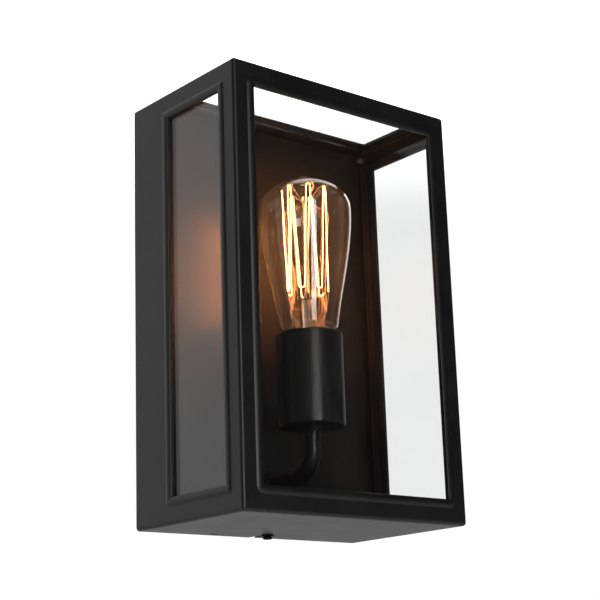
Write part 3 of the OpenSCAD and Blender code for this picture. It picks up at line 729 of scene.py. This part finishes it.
def bulb_outline(inset, tip_r):
    """(radius, height) points of the glass from its neck to its tip, moved in by an inset."""
    def at(r, z):
        return r * MM - inset, z * MM
    r, neck, top = BULB_R - inset, NECK_R - inset, LAMP_LEN - PIP_H - inset
    path = [Vector((neck, 11 * MM))]
    path += bezier((neck, 26.5 * MM), (neck, 31 * MM), at(17.5, 28.5), at(20.2, 32), 12)
    path += bezier(at(20.7, 34), at(24, 60), (r, 88 * MM), (r, 116 * MM), 32)
    path += bezier((r, 117 * MM), (r, 131 * MM), (19 * MM, top), (tip_r, top), 32)
    return [(p.x, p.y) for p in path]


def build_envelope():
    """Hollow pear-shaped bulb with the pip where it was sealed off."""
    outer = bulb_outline(0, PIP_R)
    fillet = 1.2 * MM
    tip = arc(PIP_R, LAMP_LEN - PIP_H + fillet, fillet, -90, -170, 6)
    tip += [(3.1 * MM, LAMP_LEN - 1.3 * MM), (2.3 * MM, LAMP_LEN - 0.4 * MM),
            (1.1 * MM, LAMP_LEN), (0, LAMP_LEN)]
    inner = bulb_outline(GLASS_T, 0)
    bm = bmesh.new()
    revolve(bm, outer + tip, on_axis(CONTACT_Z), 128)
    revolve(bm, inner[::-1] + [outer[0]], on_axis(CONTACT_Z), 128)
    envelope = piece("envelope", bm, BLOWN, "lamp", ["lamp_envelope"])
    envelope.visible_shadow = False


def build_stem():
    """Flare, tube, flat pinch and rod with its button, in one piece of glass."""
    low, high = limits("lamp_stem")
    flare, rod = NECK_R - GLASS_T - 0.1 * MM, 1.5 * MM
    base, hook, top = (z - CONTACT_Z for z in (low.z, FILAMENT_LOW.z, high.z))
    tube = bezier((flare, base + 1 * MM), (6 * MM, base + 5 * MM), (STEM_R, 24 * MM), (STEM_R, 32 * MM), 14)
    pinch = 1.6 * MM
    profile = ([(0, base), (flare, base)] + [(p.x, p.y) for p in tube] + [(STEM_R, hook - 9 * MM)]
               + arc(STEM_R - pinch, hook - 5 * MM, pinch, 0, 70)
               + [(1.7 * MM, hook + 1 * MM), (rod, hook + 4 * MM), (rod, top - 7.5 * MM)]
               + arc(0, top - BUTTON_DROP, BUTTON_R, -58, 90, 12))
    bm = bmesh.new()
    revolve(bm, profile, on_axis(CONTACT_Z), 64)
    piece("stem", bm, BLOWN, "lamp", ["lamp_stem"])


def hook_angle(i, high):
    """Angle of the i-th upper or lower hook; the two rows alternate."""
    return FILAMENT_TURN + math.pi * (2 * i + (1 if high else 0)) / LOOPS


def build_filament():
    """One continuous wire: up, over a hook in a narrow arch, down, round the next lower hook."""
    rise, waviness, steps = 1.6 * MM, 0.35 * MM, 12
    rows = {True: (HIGH_R, HIGH_Z, 1.3 * MM, 1), False: (LOW_R, LOW_Z, 2.2 * MM, -1)}
    path = []
    for i in range(LOOPS):
        for high in (False, True):
            ring, z, half, sign = rows[high]
            a = hook_angle(i, high)
            for k in range(9):
                t = math.pi * k / 8
                path.append(lamp_point(ring, a - half * math.cos(t) / ring,
                                       z + sign * rise * (math.sin(t) - 1)))
            if high and i == LOOPS - 1:
                break
            start = path[-1]
            next_ring, next_z, next_half, next_sign = rows[not high]
            next_angle = hook_angle(i + (1 if high else 0), not high) - next_half / next_ring
            end = lamp_point(next_ring, next_angle, next_z - next_sign * rise)
            for k in range(1, steps):
                s = k / steps
                wobble = waviness * math.sin(7 * s + 2.3 * i) * math.sin(math.pi * s)
                path.append(start.lerp(end, s) + wobble * Vector((math.cos(a), math.sin(a), 0)))
    bm = bmesh.new()
    sweep(bm, path, 0.26 * MM, sides=8)
    piece("filament_wire", bm, HOT, "lamp", ["lamp_filament"])


def stem_wire(bm, i, start, leave, drop, steps, radius, sides):
    """A wire from the stem to the i-th lower hook; start and leave are (off the stem, height)."""
    a = hook_angle(i, False)
    sweep(bm, bezier(lamp_point(STEM_R + start[0] * MM, a, CONTACT_Z + start[1] * MM),
                     lamp_point(STEM_R + leave[0] * MM, a, CONTACT_Z + leave[1] * MM),
                     lamp_point(LOW_R, a, LOW_Z - drop),
                     lamp_point(LOW_R, a, LOW_Z - 0.2 * MM), steps), radius, sides)


def build_leads():
    """Copper wires to the filament's two ends."""
    bm = bmesh.new()
    for i in LEAD_HOOKS:
        stem_wire(bm, i, (0.5, 28), (6, 33), 14 * MM, 18, 0.26 * MM, 10)
    piece("lead_in_wires", bm, COPPER, "lamp", ["lamp_leads"])


def build_supports():
    """Thin wires to the other lower hooks, and curled hooks on the glass button."""
    bm = bmesh.new()
    for i in range(LOOPS):
        if i not in LEAD_HOOKS:
            stem_wire(bm, i, (0.4, 33), (5, 36), 12 * MM, 14, 0.17 * MM, 8)
    button = limits("lamp_stem")[1].z - BUTTON_DROP
    curl = 1.3 * MM
    for i in range(LOOPS):
        a = hook_angle(i, True)
        path = bezier(lamp_point(BUTTON_R + 0.1 * MM, a, button), lamp_point(7 * MM, a, button - 0.5 * MM),
                      lamp_point(HIGH_R - 3 * MM, a, HIGH_Z + 2.2 * MM),
                      lamp_point(HIGH_R, a, HIGH_Z + 1 * MM), 14)
        for k in range(1, 10):
            t = math.radians(90 - 30 * k)
            path.append(lamp_point(HIGH_R + 0.8 * curl * math.cos(t), a,
                                   HIGH_Z - 0.3 * MM + curl * math.sin(t)))
        sweep(bm, path, 0.2 * MM, sides=8)
    piece("support_wires", bm, MOLY, "lamp", ["lamp_supports"])


def build_cap():
    """Screw cap with its rolled thread between a tapered foot and a collar."""
    low, high, r = round_limits("lamp_cap")
    thread_low, thread_high = low.z + 2.2 * MM, low.z + 18 * MM
    crest = r - 0.05 * MM
    bm = bmesh.new()
    revolve(bm, [(12.2 * MM, low.z + 0.3 * MM), (r - 0.5 * MM, low.z + 1 * MM), (r - 0.1 * MM, thread_low)],
            on_axis(0))
    rolled_thread(bm, crest, 0.75 * MM, thread_low, thread_high)
    revolve(bm, [(crest, thread_high), (crest, high.z - 1.5 * MM), (r, high.z - 0.4 * MM),
                 (r - 0.3 * MM, high.z)], on_axis(0))
    piece("cap_shell", bm, BRASS, "lamp", ["lamp_cap"], thick=0.3 * MM)


def build_foot():
    """Domed drop of solder at the lamp's centre contact."""
    low, high, r = round_limits("lamp_contact")
    h = high.z - low.z
    dome = [(r * math.sin(a), low.z + h * (1 - math.cos(a))) for a in quarter(10)]
    bm = bmesh.new()
    revolve(bm, dome + [(0, high.z)], on_axis(0), 48)
    piece("foot_contact", bm, SOLDER, "lamp_foot", ["lamp_contact"])


build_envelope()
build_stem()
build_filament()
build_leads()
build_supports()
build_cap()
build_foot()


# ------------------------------------------------------------------ thumb screw

SHANK_R = 2 * MM
SCREW_PITCH = 0.7 * MM
THREAD_DEPTH = 0.24 * MM
KNURL_DEPTH = 0.28 * MM
KNURL_TEETH = 24
THUMB_STEPS = 144
HEAD_GAP = 0.15 * MM


def thumb_loop(z, radius, groove=0.0):
    """Points round the thumb screw's axis; groove is how deep its knurl cuts there."""
    loop = []
    for k in range(THUMB_STEPS):
        a = 2 * math.pi * k / THUMB_STEPS
        r = radius - groove * (0.5 - 0.5 * math.cos(KNURL_TEETH * a))
        loop.append(Vector((THUMB.x + r * math.cos(a), THUMB.y + r * math.sin(a), z)))
    return loop


def build_thumb_screw():
    """Straight-knurled head with eased rims on a shank with a fine thread."""
    low, high, r = round_limits("thumb_screw")
    top = limits("thumb_washer")[0].z - HEAD_GAP
    tip = 0.01 * MM
    sections = [(low.z, tip, 0), (low.z, r - 1.1 * MM, 0), (low.z + 0.1 * MM, r - 0.6 * MM, 0),
                (low.z + 0.5 * MM, r - 0.1 * MM, 0.6 * KNURL_DEPTH), (low.z + 0.7 * MM, r, KNURL_DEPTH),
                (top - 0.7 * MM, r, KNURL_DEPTH), (top - 0.4 * MM, r - 0.1 * MM, 0.5 * KNURL_DEPTH),
                (top - 0.1 * MM, r - 0.5 * MM, 0), (top, r - 1 * MM, 0), (top, SHANK_R, 0)]
    row, z = 0, top
    while z < high.z - 0.5 * MM:
        row += 1
        z = top + row * SCREW_PITCH / 4
        wave = 0.5 - 0.5 * math.cos(row * math.pi / 2)
        sections.append((z, SHANK_R - THREAD_DEPTH * wave, 0))
    sections += [(high.z, SHANK_R - 0.5 * MM, 0), (high.z, tip, 0)]
    bm = bmesh.new()
    loft(bm, [thumb_loop(*section) for section in sections])
    piece("thumb_screw_knurled", bm, BLACK_ZINC, "thumb_screw", ["thumb_screw"])


def build_washer():
    """Plain washer with eased rims."""
    low, high, r = round_limits("thumb_washer")
    bore, edge, h = SHANK_R + HEAD_GAP, 0.25 * MM, high.z - low.z
    profile = ([(bore, 0)] + arc(r - edge, edge, edge, -90, 0, 4) + arc(r - edge, h - edge, edge, 0, 90, 4)
               + [(bore, h), (bore, 0)])
    bm = bmesh.new()
    revolve(bm, profile, Vector((THUMB.x, THUMB.y, low.z)), 64)
    piece("thumb_screw_washer", bm, BLACK_ZINC, "thumb_ring", ["thumb_washer"])


build_thumb_screw()
build_washer()


# ------------------------------------------------------------------ CAD nodes that stay

FINISH = {
    # The back pan takes the copy of the coat with painted light.
    "wall_gasket": FOAM, "wall_plate": ZINC, "plate_tabs": ZINC, "back_pan": PAN_COAT_PAINTED_LIGHT,
    "pan_screws": ZINC, "pan_nuts": ZINC, "clinch_nut": ZINC, "cable_grommet": RUBBER,
    "terminal_block": NYLON, "terminal_screws": BRASS, "earth_stud": ZINC, "earth_nut": BRASS,
    "earth_wire": GREEN, "live_lead": BROWN, "neutral_lead": BLUE, "arm_nut": ZINC, "cup_nut": ZINC,
    "holder_bracket": ZINC, "contact_tongue": BRASS, "retainer_studs": ZINC, "retainer_nuts": ZINC,
    "lamp_insulator": VITRITE,
}
for node_name, finish in FINISH.items():
    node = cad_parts[node_name]
    node.data.materials.clear()
    node.data.materials.append(finish)


# ------------------------------------------------------------------ floor and light

FLOOR_HALF = 6.0
FLOOR_DROP = 0.75


def build_floor():
    """A matt pale floor well below the lantern, which hangs on a wall that isn't there."""
    mat, _, shader = new_material("pale_floor")
    shader.inputs["Base Color"].default_value = (0.93, 0.93, 0.92, 1)
    shader.inputs["Roughness"].default_value = 0.9
    mesh = bpy.data.meshes.new("floor")
    z = FLOOR_Z - FLOOR_DROP
    corners = [(x * FLOOR_HALF, y * FLOOR_HALF, z) for x, y in ((-1, -1), (1, -1), (1, 1), (-1, 1))]
    mesh.from_pydata(corners, [], [(0, 1, 2, 3)])
    mesh.materials.append(mat)
    obj = bpy.data.objects.new("floor", mesh)
    bpy.context.scene.collection.objects.link(obj)


def combined(tree, operation, a, b):
    """Two values added or multiplied."""
    node = add(tree, "ShaderNodeMath", operation=operation)
    tree.links.new(a, node.inputs[0])
    tree.links.new(b, node.inputs[1])
    return node.outputs["Value"]


def build_world():
    """A white studio wall behind the object, brighter high up at its right, and a dim room in front."""
    world = bpy.data.worlds.new("studio")
    bpy.context.scene.world = world
    world.use_nodes = True
    tree = world.node_tree
    background = tree.nodes["Background"]
    background.inputs["Color"].default_value = (1, 1, 1, 1)
    coords = add(tree, "ShaderNodeTexCoord")
    parts = add(tree, "ShaderNodeSeparateXYZ")
    tree.links.new(coords.outputs["Generated"], parts.inputs["Vector"])
    across, depth, height = (parts.outputs[axis] for axis in "XYZ")
    wall = map_range(tree, depth, (0.1, 0.45), (0.02, 1.03), "SMOOTHSTEP")
    high_up = map_range(tree, height, (0.3, 0.42), (0.0, 1.0), "SMOOTHSTEP")
    to_right = map_range(tree, across, (0.0, 0.4), (0.0, 1.3), "SMOOTHSTEP")
    level = map_range(tree, across, (-0.5, 0.1), (0.66, 1.0), "SMOOTHSTEP")
    level = combined(tree, "ADD", level, combined(tree, "MULTIPLY", high_up, to_right))
    strength = combined(tree, "MULTIPLY", wall, level)
    tree.links.new(strength, background.inputs["Strength"])


def softbox(name, where, target, size, power):
    """A rectangular area light, aimed at a point."""
    light = bpy.data.lights.new(name, "AREA")
    light.shape, light.size, light.size_y, light.energy = "RECTANGLE", size[0], size[1], power
    obj = bpy.data.objects.new(name, light)
    obj.location = where
    obj.rotation_euler = (Vector(target) - Vector(where)).to_track_quat("-Z", "Y").to_euler()
    bpy.context.scene.collection.objects.link(obj)


build_floor()
build_world()
softbox("front_softbox", (-0.72, -2.08, 0.1), (0, 0, 0), (0.6, 1.3), 19)
bpy.context.scene.view_settings.view_transform = "Standard"
